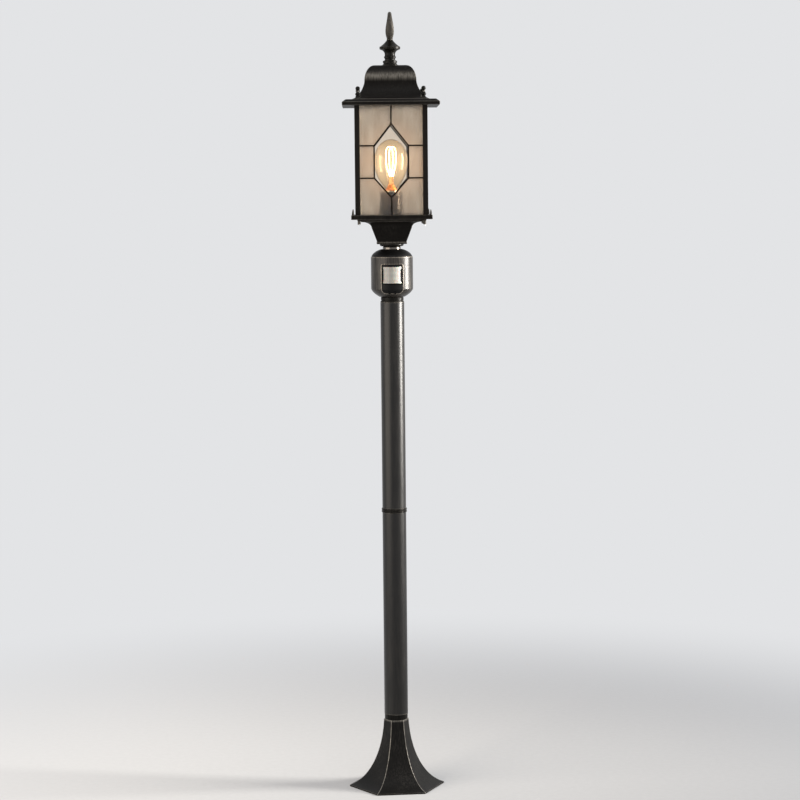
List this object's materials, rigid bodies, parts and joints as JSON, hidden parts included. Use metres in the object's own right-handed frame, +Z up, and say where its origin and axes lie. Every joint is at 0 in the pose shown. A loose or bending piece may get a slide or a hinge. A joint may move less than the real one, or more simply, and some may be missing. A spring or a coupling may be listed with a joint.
{
  "type": "lantern floor lamp",
  "caption": "Outdoor lamp on a flared hexagonal foot and round pole, with a swivelling motion-sensor head under a square leaded-glass lantern, bell roof, finial and loop.",
  "frame": {"origin": "on the ground at the pole's axis, the middle of the hexagonal foot", "axes": "+Z up along the pole, -Y is the front with the sensor's lens, +X to the lamp's left as seen by it and to the viewer's right"},
  "size_m": [0.1856, 0.176, 1.5],
  "materials": {
    "cast_metal": "satin",
    "pole_metal": "satin",
    "head_metal": "satin",
    "zinc_steel": "satin",
    "bulb_cap_metal": "satin",
    "black_plastic": "matte",
    "lens_plastic": "satin",
    "circuit_board": "satin",
    "frosted_glass": "satin",
    "clear_glass": "gloss",
    "leading": "matte",
    "porcelain": "gloss",
    "bulb_glass": "gloss",
    "filament": "satin"
  },
  "bodies": {
    "stand": {"ground_ring": "zinc_steel", "foot_screws": "zinc_steel", "foot": "cast_metal", "foot_nipple": "zinc_steel", "foot_collar": "cast_metal", "lower_pole": "pole_metal", "joint_ring": "cast_metal", "upper_pole": "pole_metal", "head_collar": "cast_metal", "stem": "zinc_steel", "stem_nut": "zinc_steel", "spacer": "zinc_steel", "neck_ring": "cast_metal", "lantern_neck": "cast_metal", "tray": "cast_metal", "tray_screws": "zinc_steel", "post_1": "cast_metal", "post_2": "cast_metal", "post_3": "cast_metal", "post_4": "cast_metal", "frosted_front": "frosted_glass", "frosted_right": "frosted_glass", "frosted_back": "frosted_glass", "frosted_left": "frosted_glass", "clear_front": "clear_glass", "clear_right": "clear_glass", "clear_back": "clear_glass", "clear_left": "clear_glass", "cames_front": "leading", "cames_right": "leading", "cames_back": "leading", "cames_left": "leading", "top_frame": "cast_metal", "tie_rods": "zinc_steel", "tie_nuts": "cast_metal", "lampholder": "porcelain", "holder_nipple": "zinc_steel"},
    "sensor_head": {"sensor_housing": "head_metal", "sensor_cap": "black_plastic", "sensor_insert": "black_plastic", "sensor_lens": "lens_plastic", "sensor_board": "circuit_board"},
    "dial_time": {"dial_time": "black_plastic"},
    "dial_light": {"dial_light": "black_plastic"},
    "bulb": {"bulb_glass": "bulb_glass", "bulb_cap": "bulb_cap_metal", "bulb_stem": "bulb_glass", "bulb_filament": "filament"},
    "roof": {"brim": "cast_metal", "bell": "cast_metal", "roof_nuts": "cast_metal", "finial": "cast_metal", "finial_nut": "zinc_steel", "finial_loop": "cast_metal"}
  },
  "joints": [
    {"name": "sensor_swivel", "type": "hinge", "parent": "stand", "child": "sensor_head", "pos_m": [0, 0, 0.9576], "axis": [0, 0, 1], "range_deg": [-90, 90]},
    {"name": "time_dial_turn", "type": "hinge", "parent": "sensor_head", "child": "dial_time", "pos_m": [-0.0055, -0.03758, 0.96656], "axis": [0, -0.7574, -0.653], "range_deg": [-135, 135]},
    {"name": "light_dial_turn", "type": "hinge", "parent": "sensor_head", "child": "dial_light", "pos_m": [0.0055, -0.03758, 0.96656], "axis": [0, -0.7574, -0.653], "range_deg": [-135, 135]},
    {"name": "bulb_out", "type": "slide", "parent": "stand", "child": "bulb", "axis": [0, 0, 1], "range_m": [0, 0.05]},
    {"name": "roof_lift", "type": "slide", "parent": "stand", "child": "roof", "axis": [0, 0, 1], "range_m": [0, 0.06]}
  ]
}
